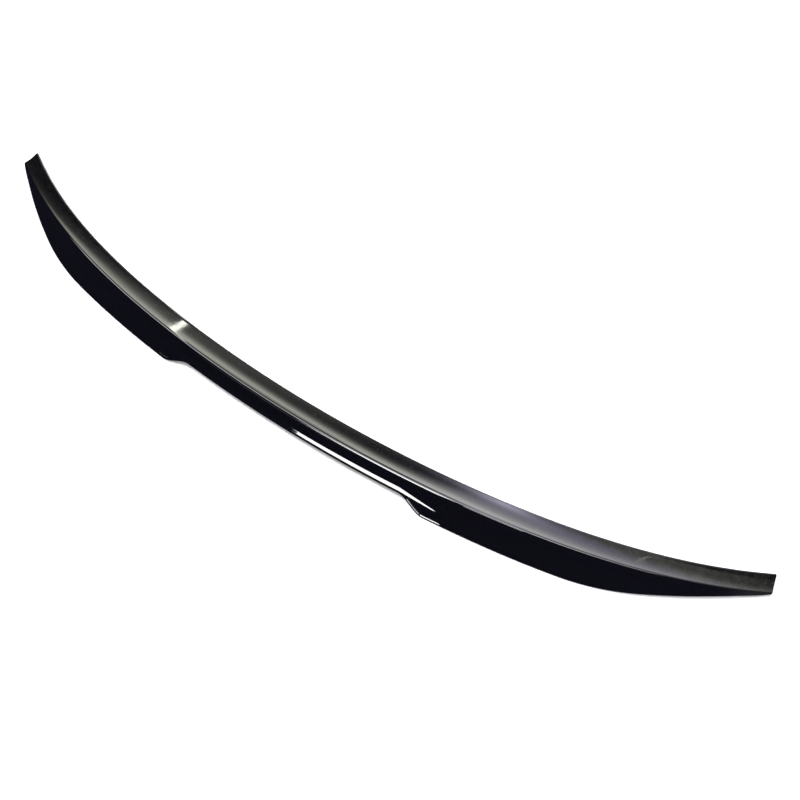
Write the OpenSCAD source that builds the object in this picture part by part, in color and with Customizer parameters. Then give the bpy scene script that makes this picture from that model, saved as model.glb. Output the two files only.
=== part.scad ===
// Rear lip spoiler for a boot lid: one moulded shell, hollow underneath.
// X runs across the car, the rear of the car is towards -Y, and +Z is up.
// A trailing crease runs from tip to tip. In front of it lies the top strip, which rises
// gently to the rear, and behind it the rear face falls to a rim. The face is low across
// the recess in the middle, steps down to a deep wing on each side and tapers to the tips.
// Each section is worked out in a plane of constant X, as [forward, up] from the crease, and
// the sections near the tips are then swung round, to cut the ends off at a slant.

/* [Plan and crown] */
// Width of the spoiler from tip to tip
span = 1210; // [1000:10:1400]
// Forward sweep of the tips that follows an even bow
bow = 98; // [40:1:150]
// Extra forward sweep that gathers towards the tips
curl = 32; // [0:1:60]
// Drop of the crease from the middle to the tips
crown = 23; // [10:1:45]
// Distance by which the crease reaches out past the front corner at each tip
tip_reach = 5; // [0:0.5:15]

/* [Top strip] */
// Width of the top strip in the middle
top_w = 29; // [20:0.5:45]
// Width of the top strip at the tips
top_w_tip = 22; // [15:0.5:40]
// Fall of the top strip towards the front in the middle, in degrees
ramp = 10; // [0:1:25]
// Fall of the top strip at the tips, where a negative value leans it back
ramp_tip = -10; // [-15:1:10]
// Depth of the hollow across the top strip
ramp_sag = 1.2; // [0:0.1:2]
// Radius of the two front corners, seen from above
corner_r = 2; // [1:0.5:12]

/* [Rear face] */
// Height of the rear face in the recess, measured down its slope
face_h = 24; // [14:0.5:32]
// Height of the rear face in the wings, measured down its slope
wing_h = 39; // [24:0.5:50]
// Height of the rear face at the very tips
tip_h = 2.4; // [1:0.1:6]
// Slope of the rear face in the middle, in degrees below level
face_tilt = 45; // [35:1:75]
// Slope of the rear face at the tips
face_tilt_tip = 10; // [8:1:40]
// Length over which each wing tapers to its tip
taper = 170; // [80:1:260]
// Softness of the bend where a wing starts to taper
knee = 10; // [1:0.5:20]

/* [Recess] */
// Width of the recess between the middles of its two steps
recess_w = 375; // [200:5:600]
// Length of each step along the car's width
step_run = 42; // [20:1:80]
// Width of the flared lip along the recess rim
lip_w = 4.5; // [3:0.5:10]
// Depth of the hollow above the flared lip
lip_depth = 1.1; // [0:0.1:2.5]
// Width of the plain land between the flared lip and the rim
lip_land = 4; // [1.5:0.1:6]
// Length over which the lip narrows to a point, from the start of each step
lip_run = 62; // [20:1:150]

/* [Wall and edges] */
// Thickness of the moulded wall
wall = 3; // [2:0.1:4]
// Thickness left at the front edge of the top strip
front_t = 2.2; // [1:0.1:2.5]
// Radius of the trailing crease
crease_r = 5; // [1:0.1:7]
// Radius on the outer corner of the front edge
front_r = 1.9; // [0.3:0.1:2.2]
// Radius on the outer corner of the lower rim
rim_r = 0.6; // [0.3:0.1:1.4]
// Angle by which the lower rim is cut off square, to sit flat
rim_bevel = 45; // [20:1:55]

/* [Hidden] */

// The sections end at the front corners, and swing round near the tips to the crease's ends
half = span / 2 - tip_reach;
swing_run = 60;
recess_half = recess_w / 2;
// Powers that shape the curl of the tips and the crown of the crease
curl_power = 5;
crown_power = 2.4;
// A fillet takes at most this share of the face it stands on, and the front round this
// share of the front edge
fillet_share = 0.4;
edge_share = 0.9;
// Power by which the hollow deepens down the rear face to the lip
hollow_power = 1.3;
// Softness of the bend at the tip of the flared lip, and the least share of it that is left
lip_blend = 0.3;
least_share = 0.01;
// Intervals between sections: recess, step, wing, taper and rounded corner
recess_n = 13;
step_n = 12;
wing_n = 16;
taper_n = 24;
corner_n = 5;
// Points on each stretch of a section
front_n = 3;
strip_n = 6;
crease_n = 5;
face_n = 9;
rim_n = 3;
inside_n = 5;

// A rise from 0 to 1 with a level start and end
function smooth(u) = let(c = max(0, min(1, u))) c * c * (3 - 2 * c);
// The smaller of two values, with the corner between them blended over k
function soft_min(a, b, k) =
    let(m = max(0, min(1, 0.5 + (b - a) / (2 * k))))
    b * (1 - m) + a * m - k * m * (1 - m);

// The crease: its place, its slope in plan and the stretch that the slope gives a section
function share(x) = abs(x) / half;
function crease_y(x) = bow * pow(share(x), 2) + curl * pow(share(x), curl_power);
function crease_z(x) = -crown * pow(share(x), crown_power);
function plan_slope(x) =
    (2 * bow * share(x) + curl_power * curl * pow(share(x), curl_power - 1)) / half;
function stretch(x) = sqrt(1 + pow(plan_slope(x), 2));
// A value that changes with the square of the distance from the middle
function along(x, middle, tip) = middle + (tip - middle) * pow(share(x), 2);

// Width of the top strip, rounded off at the front corners
function corner_cut(d) =
    d < corner_r ? corner_r - sqrt(pow(corner_r, 2) - pow(corner_r - d, 2)) : 0;
function strip_w(x) = along(x, top_w, top_w_tip) - corner_cut(half - abs(x));

// Height of the rear face: recess, step, wing and taper
function level_h(x) =
    face_h + (wing_h - face_h) * smooth((abs(x) - recess_half) / step_run + 0.5);
function taper_h(x) = tip_h + (wing_h - tip_h) * (half - abs(x)) / taper;
function height(x) = soft_min(level_h(x), taper_h(x), knee);

// Depth of the hollow that makes the flared lip, at s down the rear face. The lip has its
// full width along the recess and narrows to a point inside each wing.
function lip_share(x) =
    max(least_share, min(1, (recess_half - step_run / 2 + lip_run - abs(x)) / lip_run));
function hollow(x, s) =
    let(
        part = lip_share(x),
        end = face_h - part * max(lip_land, rim_r * tan((90 + rim_bevel) / 2)),
        start = end - part * lip_w,
        slope = min(pow(s / start, hollow_power), 2)
    )
    part * lip_depth * max(0, soft_min(slope, (end - s) / (part * lip_w), lip_blend));

// A unit direction at an angle above the forward direction
function way(angle) = [cos(angle), sin(angle)];
// Points on an arc, both ends included
function arc(centre, r, from, to, n) =
    [for (i = [0:n]) centre + r * way(from + (to - from) * i / n)];

// The closed outline of the wall at x: front edge, top strip, crease, rear face, rim, inside
function section(x) =
    let(
        w = strip_w(x),
        h = height(x),
        face = along(x, face_tilt, face_tilt_tip),
        fall = along(x, ramp, ramp_tip),
        bend = atan(4 * ramp_sag / w),
        fall_crease = fall + bend,
        fall_front = fall - bend,
        turn = fall_crease + face,
        r_crease = min(crease_r, fillet_share * h / tan(turn / 2)),
        at_crease = r_crease * tan(turn / 2) * way(-fall_crease),
        at_front = w * way(-fall),
        // top strip, and the wall under it, at u from the crease to the front edge
        up = way(90 - fall),
        strip = function(u, depth)
            at_crease + (at_front - at_crease) * u - (4 * ramp_sag * u * (1 - u) + depth) * up,
        // rear face, and the wall behind it, at s down the slope
        down = way(180 + face),
        out = way(90 + face),
        rear = function(s, depth) down * s - (hollow(x, s) + depth) * out,
        // lower rim, bevelled where the face is deep enough to carry it
        bevel = min(rim_bevel, 90 - face) * smooth((h - wall) / (2 * wall)),
        r_rim = min(rim_r, fillet_share * h / tan(45 + bevel / 2)),
        rim_run = r_rim * tan(45 + bevel / 2),
        rim_centre = down * (h - rim_run) - r_rim * out,
        s_inner = h - wall * tan(bevel),
        s_corner = wall * tan(turn / 2),
        s_crease = r_crease * tan(turn / 2),
        u_corner = (s_corner - s_crease) / norm(at_front - at_crease),
        r_front = min(front_r, edge_share * front_t),
        u_front = 1 - r_front / norm(at_front - at_crease)
    )
    concat(
        [at_front - front_t * way(90 - fall_front)],
        arc(at_front - r_front * (way(-fall_front) + way(90 - fall_front)), r_front,
            -fall_front, 90 - fall_front, front_n),
        [for (i = [strip_n - 1:-1:1]) strip(u_front * i / strip_n, 0)],
        arc(at_crease - r_crease * way(90 - fall_crease), r_crease,
            90 - fall_crease, 90 + face, crease_n),
        [for (i = [1:face_n - 1]) rear(s_crease + (h - rim_run - s_crease) * i / face_n, 0)],
        arc(rim_centre, r_rim, 90 + face, 180 + face + bevel, rim_n),
        [for (i = [0:inside_n - 1]) rear(s_inner + (s_corner - s_inner) * i / inside_n, wall)],
        [for (i = [0:inside_n - 1])
            let(u = u_corner + (1 - u_corner) * i / inside_n)
            strip(u, wall + (front_t - wall) * u * u)]
    );

// Places of the sections on the +X side, from the middle outwards
function stretch_of(from, to, n) = [for (i = [1:n]) from + (to - from) * i / n];
side = concat(
    stretch_of(0, recess_half - step_run / 2, recess_n),
    stretch_of(recess_half - step_run / 2, recess_half + step_run / 2, step_n),
    stretch_of(recess_half + step_run / 2, half - taper, wing_n),
    stretch_of(half - taper, half - corner_r, taper_n),
    [for (i = [1:corner_n]) half - corner_r * (1 - sin(90 * i / corner_n))]
);
places = concat([for (i = [len(side) - 1:-1:0]) -side[i]], [0], side);

// A point of the section at x, in space. A point further back than the front edge is carried
// outwards near a tip, in step with its distance from that edge.
function swing(x) = sign(x) * tip_reach * smooth(1 - (half - abs(x)) / swing_run);
function place(x, p) =
    let(at = x + swing(x) * (1 - max(0, min(1, p[0] / strip_w(x)))))
    [at, crease_y(at) + p[0] * stretch(at), crease_z(at) + p[1]];

// Every section in space, before the part is set on its own origin
rings = [for (x = places) [for (p = section(x)) place(x, p)]];
points = [for (ring = rings) for (p = ring) p];
low_y = min([for (p = points) p[1]]);
high_y = max([for (p = points) p[1]]);
low_z = min([for (p = points) p[2]]);

// A closed skin over the rings, in triangles that mirror each other about the middle, with
// a flat cap at each tip
module skin(rings) {
    m = len(rings[0]);
    n = len(rings);
    walls = [for (i = [0:n - 2]) for (j = [0:m - 1])
        let(a = i * m + j, b = i * m + (j + 1) % m)
        each i < (n - 1) / 2
            ? [[a, a + m, b], [b, a + m, b + m]]
            : [[a, a + m, b + m], [a, b + m, b]]];
    first = [for (j = [0:m - 1]) j];
    last = [for (j = [m - 1:-1:0]) (n - 1) * m + j];
    polyhedron(points = points, faces = concat(walls, [first, last]));
}

// The whole spoiler, with its origin under the middle of its outer box
module spoiler_shell() {
    color("#15151a") translate([0, -(low_y + high_y) / 2, -low_z]) skin(rings);
}

spoiler_shell();
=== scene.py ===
import bpy
import numpy as np
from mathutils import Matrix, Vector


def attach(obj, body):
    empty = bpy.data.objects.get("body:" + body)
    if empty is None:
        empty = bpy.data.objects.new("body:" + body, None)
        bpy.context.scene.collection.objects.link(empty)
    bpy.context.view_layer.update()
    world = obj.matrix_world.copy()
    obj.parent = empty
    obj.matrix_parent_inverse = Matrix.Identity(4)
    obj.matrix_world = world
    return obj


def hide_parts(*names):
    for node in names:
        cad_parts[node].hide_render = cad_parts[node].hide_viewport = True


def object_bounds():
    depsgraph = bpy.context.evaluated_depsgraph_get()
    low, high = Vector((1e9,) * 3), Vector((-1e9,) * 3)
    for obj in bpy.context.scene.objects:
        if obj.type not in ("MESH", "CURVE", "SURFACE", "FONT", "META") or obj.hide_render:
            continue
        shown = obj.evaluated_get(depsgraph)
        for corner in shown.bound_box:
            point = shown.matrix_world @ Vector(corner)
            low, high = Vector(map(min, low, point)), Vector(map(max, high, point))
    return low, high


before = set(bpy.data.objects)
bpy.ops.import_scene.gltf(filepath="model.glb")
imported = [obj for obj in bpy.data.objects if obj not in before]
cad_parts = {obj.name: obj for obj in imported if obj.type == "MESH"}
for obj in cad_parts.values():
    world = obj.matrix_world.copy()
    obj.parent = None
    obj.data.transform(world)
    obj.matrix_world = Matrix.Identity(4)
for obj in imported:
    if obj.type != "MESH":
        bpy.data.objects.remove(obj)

cad_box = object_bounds()

MM = 0.001
RIGHT_ANGLE = np.pi / 2
BODY = "root"
NODE = "spoiler_shell"

# Plan and crown of the trailing crease, from the middle to the tips. The sections end at the
# front corners, and swing round near the tips to the ends of the crease, which reach further.
TIP_REACH = 5 * MM
SWING_RUN = 60 * MM
HALF = cad_box[1].x - TIP_REACH
BOW = 98 * MM
CURL = 32 * MM
CURL_POWER = 5
CROWN = 23 * MM
CROWN_POWER = 2.4

# Top strip: width and fall towards the front, in the middle and at the tips
TOP_W = 29 * MM
TOP_W_TIP = 22 * MM
RAMP = np.radians(10)
RAMP_TIP = np.radians(-10)
RAMP_SAG = 1.2 * MM
CORNER_R = 2 * MM

# Rear face: height down its slope, and tilt below level
FACE_H = 24 * MM
WING_H = 39 * MM
TIP_H = 2.4 * MM
FACE_TILT = np.radians(45)
FACE_TILT_TIP = np.radians(10)
TAPER = 170 * MM
KNEE = 10 * MM

# Recess, its two steps and the flared lip along its rim
RECESS_HALF = 187.5 * MM
STEP_RUN = 42 * MM
LIP_W = 4.5 * MM
LIP_DEPTH = 1.1 * MM
LIP_RUN = 62 * MM
LIP_LAND = 4 * MM
HOLLOW_POWER = 1.3
HOLLOW_CAP = 2
LIP_BLEND = 0.3
LEAST_SHARE = 0.01

# Wall and its rounds. A round takes at most the fillet's share of the face that it stands on.
# The small radius is for the feet of the front edge and the rim, the inner one for the corner
# inside, and the tip's edge for the edge of each cap. The rim's bevel grows in as the face
# gets higher than the wall is thick, over its rise.
WALL = 3 * MM
FRONT_T = 2.2 * MM
CREASE_R = 5 * MM
FRONT_R = 1.9 * MM
RIM_R = 0.6 * MM
RIM_BEVEL = np.radians(45)
BEVEL_RISE = 2 * WALL
FILLET_SHARE = 0.4
SMALL_R = 0.25 * MM
INNER_R = 1.5 * MM
TIP_EDGE = 0.4 * MM

# Small groove above the rim, with a narrow land between them. It grows in over its rise, as
# the face gets higher than in the recess, follows the rim through the steps and fades out on
# the wings over its run. It deepens in straight lines to the middle of its width, where they
# are blended.
GROOVE_W = 2.4 * MM
GROOVE_DEPTH = 0.3 * MM
GROOVE_LAND = 1.2 * MM
GROOVE_RISE = 2 * GROOVE_W
GROOVE_RUN = 40 * MM
GROOVE_BLEND = 0.3

# Points on each stretch of a section
FRONT_N = 8
STRIP_N = 28
CREASE_N = 18
FACE_N = 40
GROOVE_N = 12
LAND_N = 3
RIM_N = 9
INSIDE_N = 9
ROUND_N = 4
INNER_N = 8

# Sections on each stretch of a half, both ends counted, and the length of the last stretch
RECESS_STATIONS = 54
STEP_STATIONS = 84
WING_STATIONS = 130
TIP_STATIONS = 16
TIP_RUN = 12 * MM


def smooth(u):
    """A rise from 0 to 1 with a level start and end: three u squared less two u cubed."""
    c = np.clip(u, 0, 1)
    return c * c * (3 - 2 * c)


def soft_min(a, b, k):
    """The smaller of a and b, with the corner between them rounded by a parabola over k."""
    m = np.clip(0.5 + (b - a) / (2 * k), 0, 1)
    return b * (1 - m) + a * m - k * m * (1 - m)


def share(x):
    """How far x lies out to its tip, from 0 in the middle to 1."""
    return np.abs(x) / HALF


def along(x, middle, tip):
    """A value that changes from the middle to the tip with the square of the share."""
    return middle + (tip - middle) * share(x) ** 2


def crease_y(x):
    """The crease in plan: a parabola, with a fifth power that curls the tips forward."""
    return BOW * share(x) ** 2 + CURL * share(x) ** CURL_POWER


def crease_z(x):
    """The drop of the crease towards the tips, as a power of the share."""
    return -CROWN * share(x) ** CROWN_POWER


def stretch(x):
    """How much a cut across X lengthens a section that is square to the crease."""
    slope = (2 * BOW * share(x) + CURL_POWER * CURL * share(x) ** (CURL_POWER - 1)) / HALF
    return np.sqrt(1 + slope**2)


def strip_width(x):
    """Width of the top strip, less a quarter circle at each front corner."""
    d = np.clip(HALF - np.abs(x), 0, CORNER_R)
    cut = CORNER_R - np.sqrt(CORNER_R**2 - (CORNER_R - d) ** 2)
    return along(x, TOP_W, TOP_W_TIP) - cut


def face_height(x):
    """Height of the rear face: the recess, a smooth step to the wing, and a straight taper."""
    level = FACE_H + (WING_H - FACE_H) * smooth((np.abs(x) - RECESS_HALF) / STEP_RUN + 0.5)
    taper = TIP_H + (WING_H - TIP_H) * (HALF - np.abs(x)) / TAPER
    return soft_min(level, taper, KNEE)


def lip_hollow(x, s):
    """Depth of the hollow above the flared lip, at s down the rear face. It deepens with a
    power of s to the lip, and the lip then rises in a straight line to the face's plane."""
    part = np.clip((RECESS_HALF - STEP_RUN / 2 + LIP_RUN - np.abs(x)) / LIP_RUN, LEAST_SHARE, 1)
    end = FACE_H - part * LIP_LAND
    start = end - part * LIP_W
    slope = np.minimum((s / start) ** HOLLOW_POWER, HOLLOW_CAP)
    rise = (end - s) / (part * LIP_W)
    return part * LIP_DEPTH * np.maximum(0, soft_min(slope, rise, LIP_BLEND))


def way(angle):
    """A unit direction in the section's plane, at an angle above forward."""
    return np.stack([np.cos(angle), np.sin(angle)], -1)


def arc(centre, radius, start, end, n):
    """Points on an arc, both ends included, for every section at once."""
    turn = start + (end - start) * np.linspace(0, 1, n + 1)
    return centre + radius[..., None] * way(turn)


def rounded(before, corner, after, n):
    """A corner rounded off by the parabola that starts and ends along its two sides."""
    t = np.linspace(0, 1, n + 1)[None, :, None]
    return (1 - t) ** 2 * before + 2 * t * (1 - t) * corner + t**2 * after


def section(x):
    """The closed outline of the wall at each x, as a dictionary of stretches of points
    [forward, up] measured from the crease, in this order: front edge, top strip, crease,
    rear face, groove, land, rim, inside of the face, inner corner, underside of the strip.
    The strip is a straight slope less a parabola, and the face is one less the hollow above the
    lip and the groove. The rounds are arcs of circles, and parabolas at the feet and inside."""
    x = np.asarray(x)[:, None]
    w, h = strip_width(x), face_height(x)
    face, fall = along(x, FACE_TILT, FACE_TILT_TIP), along(x, RAMP, RAMP_TIP)
    bend = np.arctan(4 * RAMP_SAG / w)
    fall_crease, fall_front = fall + bend, fall - bend
    turn = fall_crease + face
    r_crease = np.minimum(CREASE_R, FILLET_SHARE * h / np.tan(turn / 2))
    s_crease = r_crease * np.tan(turn / 2)
    at_crease = s_crease[..., None] * way(-fall_crease)
    at_front = w[..., None] * way(-fall)
    length = np.linalg.norm(at_front - at_crease, axis=-1)
    up, down, out = way(RIGHT_ANGLE - fall), way(np.pi + face), way(RIGHT_ANGLE + face)

    # The rim, cut off square where the face is deep enough to carry it
    bevel = np.minimum(RIM_BEVEL, RIGHT_ANGLE - face) * smooth((h - WALL) / BEVEL_RISE)
    r_rim = np.minimum(RIM_R, FILLET_SHARE * h / np.tan(np.pi / 4 + bevel / 2))
    rim_run = r_rim * np.tan(np.pi / 4 + bevel / 2)
    rim_centre = down * (h - rim_run)[..., None] - r_rim[..., None] * out

    # The groove, narrower where the face is too low for it, and the land below it
    groove_w = np.minimum(GROOVE_W, FILLET_SHARE * (h - rim_run - s_crease))
    groove_land = GROOVE_LAND * groove_w / GROOVE_W
    groove_depth = GROOVE_DEPTH * smooth((h - FACE_H) / GROOVE_RISE) * groove_w / GROOVE_W
    past_step = np.abs(x) - RECESS_HALF - STEP_RUN / 2
    groove_depth = groove_depth * smooth(1 - past_step / GROOVE_RUN)
    groove_at = h - rim_run - groove_land - groove_w

    def strip(u, depth):
        """The top strip, or the wall below it, at u from the crease to the front edge."""
        sag = 4 * RAMP_SAG * u * (1 - u)
        return at_crease + (at_front - at_crease) * u[..., None] - (sag + depth)[..., None] * up

    def rear(s, depth):
        """The rear face, or the wall behind it, at s down its slope."""
        return down * s[..., None] - (depth + lip_hollow(x, s))[..., None] * out

    def outer_face(s):
        """The rear face with its groove, at s down its slope."""
        part = (s - groove_at) / groove_w
        dip = np.maximum(0, soft_min(2 * part, 2 - 2 * part, GROOVE_BLEND))
        return rear(s, groove_depth * dip)

    def inside(u):
        """The underside of the top strip, where the wall thins towards the front edge."""
        return strip(u, WALL + (FRONT_T - WALL) * u * u)

    def steps(n, first=1):
        """Even shares of a stretch for every section. They leave out its end, and its start too
        unless the first is 0."""
        return np.arange(first, n) / n + 0 * x

    # The ends of the front edge's round and of the small round at its foot
    square_front = way(RIGHT_ANGLE - fall_front)
    u_front, u_foot = 1 - FRONT_R / length, 1 - SMALL_R / length
    foot = at_front - FRONT_T * square_front

    # The inside from the rim's foot to the corner under the crease
    s_inner, s_corner = h - WALL * np.tan(bevel), WALL * np.tan(turn / 2)
    rim_end = rim_centre + r_rim[..., None] * way(np.pi + face + bevel)
    rim_foot = rear(s_inner, WALL)
    rim_side = (rim_end - rim_foot) / np.linalg.norm(rim_end - rim_foot, axis=-1, keepdims=True)
    rim_small = np.minimum(SMALL_R, FILLET_SHARE * r_rim)

    inner = np.minimum(INNER_R, FILLET_SHARE * (s_inner - s_corner))
    u_corner = (s_corner - s_crease) / length
    u_inner = u_corner + inner / length

    return {
        "front foot": rounded(inside(u_foot), foot, foot + SMALL_R * square_front, ROUND_N),
        "front edge": arc(
            at_front - FRONT_R * (way(-fall_front) + square_front),
            np.full_like(x, FRONT_R), -fall_front, RIGHT_ANGLE - fall_front, FRONT_N,
        ),
        "top strip": strip(u_front * steps(STRIP_N)[:, ::-1], 0),
        "crease": arc(
            at_crease - r_crease[..., None] * way(RIGHT_ANGLE - fall_crease),
            r_crease, RIGHT_ANGLE - fall_crease, RIGHT_ANGLE + face, CREASE_N,
        ),
        "rear face": outer_face(s_crease + (groove_at - s_crease) * steps(FACE_N)),
        "groove": outer_face(groove_at + groove_w * steps(GROOVE_N, first=0)),
        "land": outer_face(groove_at + groove_w + groove_land * steps(LAND_N, first=0)),
        "rim": arc(rim_centre, r_rim, RIGHT_ANGLE + face, np.pi + face + bevel, RIM_N),
        "rim foot": rounded(
            rim_foot + rim_small[..., None] * rim_side, rim_foot,
            rear(s_inner - rim_small, WALL), ROUND_N,
        ),
        "inside of the face": rear(
            s_inner - rim_small + (s_corner + inner - s_inner + rim_small) * steps(INSIDE_N), WALL
        ),
        "inner corner": rounded(
            rear(s_corner + inner, WALL), rear(s_corner, WALL), inside(u_inner), INNER_N
        ),
        "underside of the strip": inside(
            u_inner + (u_foot - u_corner - inner / length) * steps(INSIDE_N)
        ),
    }


def inset(outline, distance):
    """The outlines moved inwards, square to themselves, by a distance for each section."""
    tangent = np.roll(outline, -1, axis=1) - np.roll(outline, 1, axis=1)
    tangent /= np.linalg.norm(tangent, axis=-1, keepdims=True)
    inward = np.stack([-tangent[..., 1], tangent[..., 0]], -1)
    return outline + distance[:, None, None] * inward


def stations():
    """Places of the sections and how far each is inset. They lie closer through the steps and
    near the tips, and the last few follow a quarter circle that rounds the tip's edge."""
    step_start, step_end = RECESS_HALF - STEP_RUN, RECESS_HALF + STEP_RUN
    near_tip, edge_start = HALF - TIP_RUN, HALF - TIP_EDGE
    turn = np.linspace(0, RIGHT_ANGLE, ROUND_N + 1)
    side = np.concatenate([
        np.linspace(0, step_start, RECESS_STATIONS)[1:],
        np.linspace(step_start, step_end, STEP_STATIONS)[1:],
        np.linspace(step_end, near_tip, WING_STATIONS)[1:],
        np.linspace(near_tip, edge_start, TIP_STATIONS)[1:-1],
        HALF - TIP_EDGE * (1 - np.sin(turn)),
    ])
    depth = np.zeros(len(side))
    depth[-len(turn):] = TIP_EDGE * (1 - np.cos(turn))
    return np.concatenate([-side[::-1], [0], side]), np.concatenate([depth[::-1], [0], depth])


def shell_points():
    """The whole skin as a grid of points, one row for each section, and the name of the
    stretch that each column belongs to. A section is drawn from the crease, stretched along Y
    to suit the slant of the crease, and set in the middle of the box, on its floor. Near a tip,
    a point is carried outwards in step with its distance back from the front edge."""
    x, depth = stations()
    stretches = section(x)
    outline = inset(np.concatenate(list(stretches.values()), axis=1), depth)
    names = np.concatenate([np.full(p.shape[1], name) for name, p in stretches.items()])
    x = x[:, None]
    swing = np.sign(x) * TIP_REACH * smooth(1 - (HALF - np.abs(x)) / SWING_RUN)
    across = x + swing * (1 - np.clip(outline[..., 0] / strip_width(x), 0, 1))
    y = crease_y(across) + outline[..., 0] * stretch(across)
    z = crease_z(across) + outline[..., 1]
    y = y - (y.min() + y.max()) / 2
    z = z - z.min() + cad_box[0].z
    return np.stack([across, y, z], -1), names


def closed_tube(rows, columns):
    """Quads between neighbouring sections, then a cap with one corner for each point at both
    ends, all wound so that they face outwards."""
    i, j = np.meshgrid(np.arange(rows - 1), np.arange(columns), indexing="ij")
    a, b = i * columns + j, i * columns + (j + 1) % columns
    quads = np.stack([a, b, b + columns, a + columns], -1).reshape(-1, 4)
    first = np.arange(columns)[::-1]
    last = (rows - 1) * columns + np.arange(columns)
    return quads.tolist() + [first.tolist(), last.tolist()]


def mesh_object(name, points, faces, smooth_shaded=True):
    """A mesh object at the origin from points and a list of faces."""
    mesh = bpy.data.meshes.new(name)
    mesh.from_pydata(points.reshape(-1, 3).tolist(), [], faces)
    mesh.polygons.foreach_set("use_smooth", np.full(len(faces), smooth_shaded))
    mesh.update()
    thing = bpy.data.objects.new(name, mesh)
    bpy.context.scene.collection.objects.link(thing)
    return thing


def make_shell(finishes):
    """The spoiler's skin, with a finish for each stretch of its section. The caps at the tips
    have the rear face's finish."""
    points, names = shell_points()
    rows, columns = points.shape[:2]
    shell = mesh_object("lip_spoiler", points, closed_tube(rows, columns))
    for material in dict.fromkeys(finishes.values()):
        shell.data.materials.append(material)
    index = {name: shell.data.materials.find(m.name) for name, m in finishes.items()}
    column_finish = np.array([index[name] for name in names])
    cap_finish = [index["rear face"]] * 2
    face_finish = np.concatenate([np.tile(column_finish, rows - 1), cap_finish])
    shell.data.polygons.foreach_set("material_index", face_finish.astype(np.int32))
    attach(shell, BODY)
    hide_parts(NODE)


def colour(code):
    """An sRGB hex colour as linear red, green, blue and full alpha, by the curve of the sRGB
    standard: a straight line near black and a power above it."""
    srgb = np.array([int(code[i:i + 2], 16) for i in (1, 3, 5)]) / 255
    linear = np.where(srgb <= 0.04045, srgb / 12.92, ((srgb + 0.055) / 1.055) ** 2.4)
    return (*linear.tolist(), 1.0)


def feed(tree, node, inputs):
    """Gives a node its inputs, by their names or numbers. Each is a value, or the socket that
    feeds it."""
    for name, value in dict(inputs).items():
        if isinstance(value, bpy.types.NodeSocket):
            tree.links.new(value, node.inputs[name])
        else:
            node.inputs[name].default_value = value


def add(tree, kind, inputs=(), **settings):
    """Adds one node, with settings of its own properties, and with inputs."""
    node = tree.nodes.new(kind)
    for name, value in settings.items():
        setattr(node, name, value)
    feed(tree, node, inputs)
    return node


def noise(tree, place, size, detail):
    """A noise pattern whose features are this many metres apart."""
    texture = add(tree, "ShaderNodeTexNoise", {"Vector": place, "Scale": 1 / size, "Detail": detail})
    return texture.outputs["Fac"]


def remap(tree, value, source, target, **settings):
    """A value carried from one range to another, and held at the ends."""
    mapped = add(tree, "ShaderNodeMapRange", {
        "Value": value, "From Min": source[0], "From Max": source[1],
        "To Min": target[0], "To Max": target[1]}, **settings)
    return mapped.outputs["Result"]


def combine(tree, operation, first, second):
    """Two values joined by a math operation, such as ADD."""
    return add(tree, "ShaderNodeMath", {0: first, 1: second}, operation=operation).outputs[0]


def blend(tree, factor, first, second):
    """A colour between two hex colours."""
    mixed = add(tree, "ShaderNodeMix", {
        "Factor": factor, 6: colour(first), 7: colour(second)}, data_type="RGBA")
    return mixed.outputs[2]


def relief(tree, height, depth):
    """A normal that stands for a relief of this depth in metres."""
    bump = add(tree, "ShaderNodeBump", {"Height": height, "Strength": 1.0, "Distance": depth})
    return bump.outputs["Normal"]


def new_material(name):
    """A node material, with its tree and its Principled shader."""
    material = bpy.data.materials.new(name)
    material.use_nodes = True
    tree = material.node_tree
    return material, tree, tree.nodes["Principled BSDF"]


def object_place(tree):
    """The Object coordinates, in metres."""
    return add(tree, "ShaderNodeTexCoord").outputs["Object"]


def polished_abs():
    """Gloss black ABS, injection moulded in a polished tool. It gives the eye a deep black with
    a sharp mirror, broken only by a faint waviness."""
    material, tree, shader = new_material("polished_black_abs")
    place = object_place(tree)
    haze = noise(tree, place, size=30 * MM, detail=3.0)
    wave = noise(tree, place, size=9 * MM, detail=1.0)
    feed(tree, shader, {
        "Base Color": colour("#0c0c13"),
        "IOR": 1.5,
        "Roughness": remap(tree, haze, source=(0.3, 0.7), target=(0.012, 0.03)),
        "Normal": relief(tree, wave, depth=0.004 * MM),
    })
    return material


def dusty_abs():
    """The same ABS on the top strip, handled and lying face up. It gives the eye the same
    mirror, hazed in soft smears, speckled with pale dust, and greyer towards the right tip."""
    material, tree, shader = new_material("dusty_black_abs")
    place = object_place(tree)
    across = add(tree, "ShaderNodeSeparateXYZ", {"Vector": place}).outputs["X"]
    haze = noise(tree, place, size=14 * MM, detail=5.0)
    smears = noise(tree, place, size=9 * MM, detail=6.0)
    specks = noise(tree, place, size=1.8 * MM, detail=4.0)
    wave = noise(tree, place, size=5 * MM, detail=3.0)
    film = remap(
        tree, across, source=(200 * MM, 600 * MM), target=(0.01, 0.04),
        interpolation_type="SMOOTHSTEP")
    smear = remap(tree, smears, source=(0.4, 0.62), target=(0.2, 1.8))
    dust = remap(tree, specks, source=(0.58, 0.8), target=(0.0, 0.22))
    cover = combine(tree, "ADD", combine(tree, "MULTIPLY", film, smear), dust)
    feed(tree, shader, {
        "Base Color": blend(tree, cover, "#08080c", "#6e6c66"),
        "IOR": 1.5,
        "Roughness": remap(tree, haze, source=(0.35, 0.65), target=(0.015, 0.045)),
        "Normal": relief(tree, wave, depth=0.003 * MM),
    })
    return material


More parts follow.
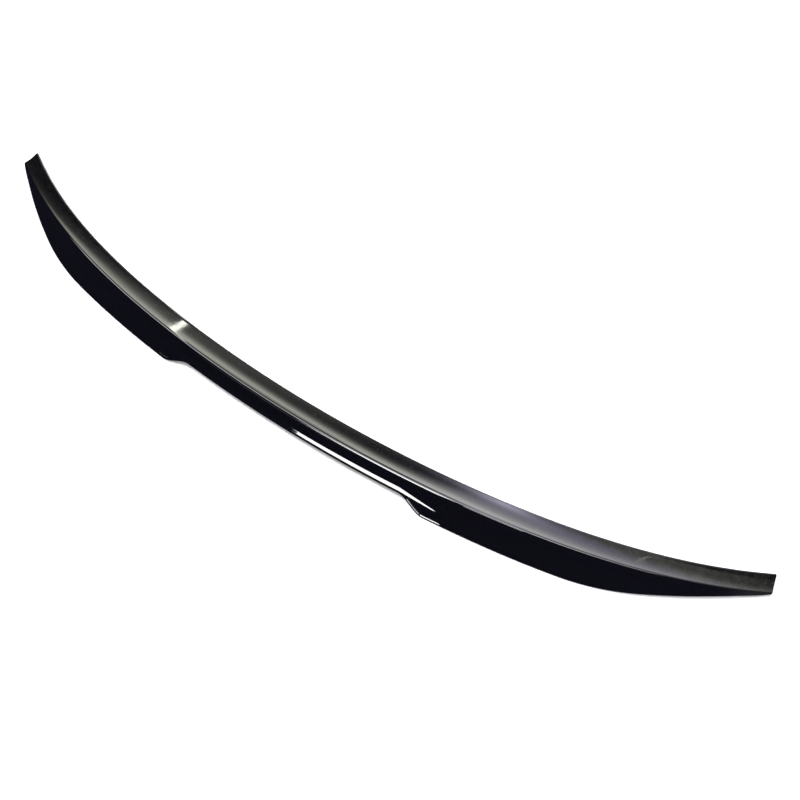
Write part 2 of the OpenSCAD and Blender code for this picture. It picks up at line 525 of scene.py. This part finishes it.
def matt_abs():
    """Black ABS on the inside, moulded against a blasted tool. It gives the eye a dark grey
    with no mirror and a fine even grain."""
    material, tree, shader = new_material("matt_black_abs")
    place = object_place(tree)
    flow = noise(tree, place, size=60 * MM, detail=4.0)
    grain = noise(tree, place, size=0.6 * MM, detail=2.0)
    feed(tree, shader, {
        "Base Color": blend(tree, flow, "#101013", "#1a1a1c"),
        "Roughness": remap(tree, flow, source=(0.3, 0.7), target=(0.45, 0.62)),
        "Normal": relief(tree, grain, depth=0.03 * MM),
    })
    return material


def dull_material(name, code, roughness):
    """A plain material for the studio, with no gloss at all."""
    material, tree, shader = new_material(name)
    feed(tree, shader, {
        "Base Color": colour(code), "Roughness": roughness, "Specular IOR Level": 0.0})
    return material, tree, shader


# The studio: a black tent far round the part, with lit panels on it, over a pale floor. Its
# lengths are in metres. A direction has an azimuth in degrees, 0 towards the front and positive
# towards +X, and an elevation above the floor. An edge is its place and its softness in degrees.
TENT_R = 20.0
CLOTH_R = 1.05 * TENT_R
SLIT_R = 0.99 * TENT_R
FLOOR_HALF = 8.0
FLOOR_LIFT = 0.3
PLAIN_TINT = np.array([0.99, 1.0, 0.98])
WARM_TINT = np.array([0.98, 1.0, 0.87])
COOL_TINT = np.array([1.04, 1.0, 1.28])
OLIVE_TINT = np.array([1.0, 1.0, 0.88])
SLIT_TINT = np.array([1.0, 1.0, 0.9])

# Points along the two sides of each panel
CANOPY_N = (196, 163)
LAMP_N = (9, 9)
CLOTH_N = (49, 13)
SLIT_N = (3, 30)
TUBE_N = (58, 3)


def sky_grid(azimuths, elevations, counts):
    """The azimuths and elevations of a grid of points between these ends."""
    return np.meshgrid(
        np.linspace(*azimuths, counts[0]), np.linspace(*elevations, counts[1]), indexing="ij")


def direction(azimuth, elevation):
    """The unit vectors at these azimuths and elevations."""
    a, e = np.radians(azimuth), np.radians(elevation)
    return np.stack([np.sin(a) * np.cos(e), np.cos(a) * np.cos(e), np.sin(e)], -1)


def soft_step(value, edge, softness):
    """A rise from 0 to 1 about an edge: the logistic curve of the distance over the softness."""
    return 1 / (1 + np.exp(-(value - edge) / softness))


def soft_box(azimuth, elevation, left, right, bottom, top=(90, 1)):
    """A part of the sky, 1 inside and 0 outside: the product of a logistic step at each edge.
    Its top is open unless it is given."""
    inside = soft_step(azimuth, *left) * soft_step(-azimuth, -right[0], right[1])
    return inside * soft_step(elevation, *bottom) * soft_step(-elevation, -top[0], top[1])


def grid_faces(rows, columns):
    """Quads over a grid of points, facing the middle of the tent."""
    i, j = np.meshgrid(np.arange(rows - 1), np.arange(columns - 1), indexing="ij")
    a = i * columns + j
    return np.stack([a, a + 1, a + columns + 1, a + columns], -1).reshape(-1, 4).tolist()


def glowing_material():
    """A lit diffuser, whose strength and tint are stored on its points."""
    material, tree = new_material("diffuser_cloth")[:2]
    tree.nodes.clear()
    glow = add(tree, "ShaderNodeAttribute", attribute_name="glow")
    light = add(tree, "ShaderNodeEmission", {"Color": glow.outputs["Color"], "Strength": 1.0})
    add(tree, "ShaderNodeOutputMaterial", {"Surface": light.outputs["Emission"]})
    return material


def lit_panel(name, points, glow, material):
    """A panel of the tent: its points, with the light that each gives stored beside it."""
    panel = mesh_object(name, points, grid_faces(*points.shape[:2]))
    store = panel.data.attributes.new("glow", "FLOAT_COLOR", "POINT")
    rgb = glow.reshape(-1, 3)
    store.data.foreach_set("color", np.concatenate([rgb, np.ones((len(rgb), 1))], axis=1).ravel())
    panel.data.materials.append(material)
    panel.visible_camera = False
    return panel


def front_canopy(material):
    """The daylight in front of the part, as the sum of five lights. A low window fills the left,
    and is dim in a band above its sill. A tall one beside it fades upwards by an exponential.
    Its sill and the place where the fade starts lie higher further to the right, where it ends
    softly. A dim glow lies high on the left and another high on the right, and a bright cloud,
    a bell curve of azimuth and elevation, lies high in the middle. The low window and the left
    glow are warm. The rest is plain low down, cool high up and olive on the right."""
    azimuth, elevation = sky_grid(azimuths=(-85, 110), elevations=(3, 84), counts=CANOPY_N)
    sky = azimuth, elevation
    low_light, tall_light, fading_light = 7.5, 4.0, 8.3
    left_light, right_light, cloud_light = 1.09, 1.27, 4.9
    sill, mullion = (26, 0.8), (-16.7, 1.8)
    past_mullion = azimuth - mullion[0]

    band_top, band_share = (30.4, 0.5), 0.3
    low = soft_box(*sky, left=(-54.1, 1.9), right=mullion, bottom=sill, top=(37.8, 3.1))
    low = low_light * low * (band_share + (1 - band_share) * soft_step(elevation, *band_top))

    fade_start, fade_slope, fade_run = 38, 0.56, 9.5
    climb = np.maximum(elevation - fade_start - fade_slope * past_mullion, 0)
    tall = tall_light + fading_light * np.exp(-climb / fade_run)
    sill_rise, rise_run = 22, 12
    rising = sill[0] + sill_rise * (1 - np.exp(-np.maximum(past_mullion, 0) / rise_run))
    tall = tall * soft_box(*sky, left=mullion, right=(0.7, 16.3), bottom=(rising, sill[1]))
    far_edge, far_softness = 45, 10
    tall = tall * soft_step(-azimuth, -far_edge, far_softness)

    left_glow = soft_box(*sky, left=(-62.5, 6), right=(-37.9, 6), bottom=(40, 3))
    right_glow = soft_box(*sky, left=(40, 16), right=(84, 3), bottom=(65.7, 4.3))
    cloud_azimuth, cloud_width, cloud_elevation, cloud_height = -16.4, 10.2, 73.4, 7.5
    cloud = np.exp(
        -(((azimuth - cloud_azimuth) / cloud_width) ** 2)
        - ((elevation - cloud_elevation) / cloud_height) ** 2)

    cool_from, olive_from = (54, 4), (22, 5)
    high = soft_step(elevation, *cool_from)[..., None]
    right = soft_step(azimuth, *olive_from)[..., None]
    tint = (PLAIN_TINT * (1 - high) + COOL_TINT * high) * (1 - right) + OLIVE_TINT * right
    on_left = low + left_light * left_glow
    elsewhere = tall + cloud_light * cloud + right_light * right_glow
    glow = on_left[..., None] * WARM_TINT + elsewhere[..., None] * tint
    lit_panel("front_canopy", TENT_R * direction(azimuth, elevation), glow, material)


def slit_panel(name, places, half_widths, radiance, material):
    """A narrow bright gap in front of the canopy. Its middle line is a parabola between the
    first and the last of three places [right, up] on a unit dome, which sets out from both
    towards the middle place. Its half width changes evenly from the first end to the last."""
    across, part = np.meshgrid(
        np.linspace(-1, 1, SLIT_N[0]), np.linspace(0, 1, SLIT_N[1]), indexing="ij")
    line = rounded(*np.array(places), SLIT_N[1] - 1)
    right = line[..., 0] + across * (half_widths[0] * (1 - part) + half_widths[1] * part)
    up = line[..., 1] + 0 * across
    points = SLIT_R * np.stack([right, np.sqrt(1 - right**2 - up**2), up], -1)
    lit_panel(name, points, radiance * np.ones(points.shape) * SLIT_TINT, material)


def rear_lamp(name, azimuths, elevations, radiance, material):
    """A hard-edged lamp high behind the part, which draws white lines on the rear face and
    lights nothing matt."""
    azimuth, elevation = sky_grid(azimuths, elevations, LAMP_N)
    glow = np.full((*azimuth.shape, 3), radiance)
    lamp = lit_panel(name, TENT_R * direction(azimuth, elevation), glow, material)
    lamp.visible_diffuse = False


def ceiling_tube(material):
    """A long tube across the ceiling, parallel to the part, which draws the line along the
    crease. It lies between two leans back from the zenith, in degrees, which close up evenly
    towards its right end. Places along it are shares of the tent's radius."""
    left_end, taper_from, right_end = -0.78, 0.1, 0.36
    near_gain, far_lean, far_loss = 4, 18, 9
    radiance = 11.0
    across, part = np.meshgrid(
        np.linspace(left_end, right_end, TUBE_N[0]), np.linspace(0, 1, TUBE_N[1]), indexing="ij")
    narrowing = np.clip((across - taper_from) / (right_end - taper_from), 0, 1)
    near, far = near_gain * narrowing, far_lean - far_loss * narrowing
    lean = np.radians(near + (far - near) * part)
    reach = np.sqrt(1 - across**2)
    points = TENT_R * np.stack([across, -reach * np.sin(lean), reach * np.cos(lean)], -1)
    lit_panel("ceiling_tube", points, np.full(points.shape, radiance), material)


def black_tent():
    """The black cloth of the tent, a dome just outside the panels. The camera looks through it."""
    azimuth, elevation = sky_grid(azimuths=(-180, 180), elevations=(0, 90), counts=CLOTH_N)
    tent = mesh_object("black_tent", CLOTH_R * direction(azimuth, elevation), grid_faces(*CLOTH_N))
    tent.data.materials.append(dull_material("black_cloth", "#050505", roughness=1.0)[0])
    tent.visible_camera = False


def pale_floor():
    """A plain pale floor. It is lit a little from within for the camera, for mirrors and through
    glass, so that it reads white, and it keeps the part's shadow. It ends well inside the tent,
    where it is still white, so that no horizon shows against the white world."""
    ends = [-FLOOR_HALF, FLOOR_HALF]
    corners = np.array([[[x, y, 0] for y in ends] for x in ends])
    floor = mesh_object("pale_floor", corners, [[0, 2, 3, 1]], smooth_shaded=False)
    paper, tree, shader = dull_material("white_paper", "#ebebef", roughness=0.9)
    rays = add(tree, "ShaderNodeLightPath").outputs
    seen = combine(tree, "MAXIMUM", rays["Is Camera Ray"], rays["Is Glossy Ray"])
    shown = combine(tree, "MAXIMUM", seen, rays["Is Transmission Ray"])
    feed(tree, shader, {
        "Emission Color": colour("#ffffff"),
        "Emission Strength": combine(tree, "MULTIPLY", shown, FLOOR_LIFT),
    })
    floor.data.materials.append(paper)


def white_world():
    """The world outside the tent is plain white, which is what the camera sees past the floor."""
    world = bpy.data.worlds.new("white_room")
    world.use_nodes = True
    world.node_tree.nodes["Background"].inputs["Color"].default_value = colour("#ffffff")
    bpy.context.scene.world = world


def make_camera():
    """The camera of the photograph: 34 degrees round from the rear and 61 degrees above."""
    azimuth, elevation = np.radians(33.794), np.radians(60.664)
    target = np.array([105.10, 20.10, 38.90]) * MM
    distance = 1265.1 * MM
    back = np.array([
        np.sin(azimuth) * np.cos(elevation), -np.cos(azimuth) * np.cos(elevation), np.sin(elevation)])
    data = bpy.data.cameras.new("camera")
    data.sensor_width = 36.0
    data.lens = 44.853
    camera = bpy.data.objects.new("camera", data)
    camera.location = target + distance * back
    camera.rotation_euler = (RIGHT_ANGLE - elevation, 0.0, azimuth)
    bpy.context.scene.collection.objects.link(camera)
    bpy.context.scene.camera = camera


polished, dusty, matt = polished_abs(), dusty_abs(), matt_abs()
make_shell({
    "front foot": matt,
    "front edge": polished,
    "top strip": dusty,
    "crease": polished,
    "rear face": polished,
    "groove": polished,
    "land": polished,
    "rim": polished,
    "rim foot": matt,
    "inside of the face": matt,
    "inner corner": matt,
    "underside of the strip": matt,
})

diffuser = glowing_material()
front_canopy(diffuser)
rear_lamp(
    "rear_lamp", azimuths=(-178.0, -152.5), elevations=(42.0, 66.0), radiance=28.0,
    material=diffuser,
)
rear_lamp(
    "side_lamp", azimuths=(-196.0, -182.0), elevations=(53.0, 59.5), radiance=18.0,
    material=diffuser,
)
ceiling_tube(diffuser)
slit_panel(
    "blind_gap", places=[(-0.5034, 0.8053), (-0.4857, 0.7205), (-0.4713, 0.5207)],
    half_widths=(0.004, 0.003), radiance=24.0, material=diffuser,
)
slit_panel(
    "blind_seam", places=[(0.2376, 0.9650), (0.1541, 0.9751), (0.0817, 0.8412)],
    half_widths=(0.0035, 0.0035), radiance=3.6, material=diffuser,
)
black_tent()
pale_floor()
white_world()
make_camera()

scene_view = bpy.context.scene.view_settings
scene_view.view_transform = "Standard"
